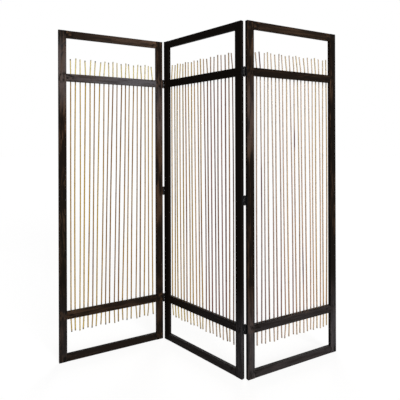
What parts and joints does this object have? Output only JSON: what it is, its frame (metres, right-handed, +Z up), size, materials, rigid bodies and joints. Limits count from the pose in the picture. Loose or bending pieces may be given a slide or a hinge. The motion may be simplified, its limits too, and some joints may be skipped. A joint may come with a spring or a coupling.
{
  "type": "folding room divider",
  "caption": "Free-standing folding screen: dark wooden frames hinged in a zigzag, with crossbars that hold a row of thin natural rods, whose ends stand free above and below.",
  "frame": {"origin": "on the floor under the middle of the centre panel, which is the middle of the zigzag", "axes": "+Z up, +X along the zigzag to the viewer's right, -Y to the front"},
  "size_m": [1.53, 0.3732, 1.829],
  "materials": {
    "frame_wood": "dark brown stain under a satin lacquer",
    "rod_wood": "natural, matt",
    "dowel_wood": "bare",
    "hinge_metal": "black, satin",
    "screw_metal": "blackened"
  },
  "bodies": {
    "centre_panel": {"centre_bottom_rail": "frame_wood", "centre_dowels": "dowel_wood", "centre_left_stile": "frame_wood", "centre_lower_crossbar": "frame_wood", "centre_panel_left_hinge_screws": "screw_metal", "centre_panel_right_hinge_screws": "screw_metal", "centre_right_stile": "frame_wood", "centre_rods": "rod_wood", "centre_top_rail": "frame_wood", "centre_upper_crossbar": "frame_wood", "left_bottom_hinge_pin": "hinge_metal", "left_bottom_hinge_two_knuckle_leaf": "hinge_metal", "left_middle_hinge_pin": "hinge_metal", "left_middle_hinge_two_knuckle_leaf": "hinge_metal", "left_top_hinge_pin": "hinge_metal", "left_top_hinge_two_knuckle_leaf": "hinge_metal", "right_bottom_hinge_pin": "hinge_metal", "right_bottom_hinge_two_knuckle_leaf": "hinge_metal", "right_middle_hinge_pin": "hinge_metal", "right_middle_hinge_two_knuckle_leaf": "hinge_metal", "right_top_hinge_pin": "hinge_metal", "right_top_hinge_two_knuckle_leaf": "hinge_metal"},
    "left_panel": {"left_bottom_hinge_one_knuckle_leaf": "hinge_metal", "left_bottom_rail": "frame_wood", "left_dowels": "dowel_wood", "left_hinge_stile": "frame_wood", "left_lower_crossbar": "frame_wood", "left_middle_hinge_one_knuckle_leaf": "hinge_metal", "left_outer_stile": "frame_wood", "left_panel_hinge_screws": "screw_metal", "left_rods": "rod_wood", "left_top_hinge_one_knuckle_leaf": "hinge_metal", "left_top_rail": "frame_wood", "left_upper_crossbar": "frame_wood"},
    "right_panel": {"right_bottom_hinge_one_knuckle_leaf": "hinge_metal", "right_bottom_rail": "frame_wood", "right_dowels": "dowel_wood", "right_hinge_stile": "frame_wood", "right_lower_crossbar": "frame_wood", "right_middle_hinge_one_knuckle_leaf": "hinge_metal", "right_outer_stile": "frame_wood", "right_panel_hinge_screws": "screw_metal", "right_rods": "rod_wood", "right_top_hinge_one_knuckle_leaf": "hinge_metal", "right_top_rail": "frame_wood", "right_upper_crossbar": "frame_wood"}
  },
  "joints": [
    {"name": "left_fold", "type": "hinge", "parent": "centre_panel", "child": "left_panel", "pos_m": [-0.25658, 0.17282, 0.9115], "axis": [0, 0, 1], "range_deg": [-72, 108]},
    {"name": "right_fold", "type": "hinge", "parent": "centre_panel", "child": "right_panel", "pos_m": [0.25658, -0.17282, 0.9115], "axis": [0, 0, 1], "range_deg": [-72, 108]}
  ]
}
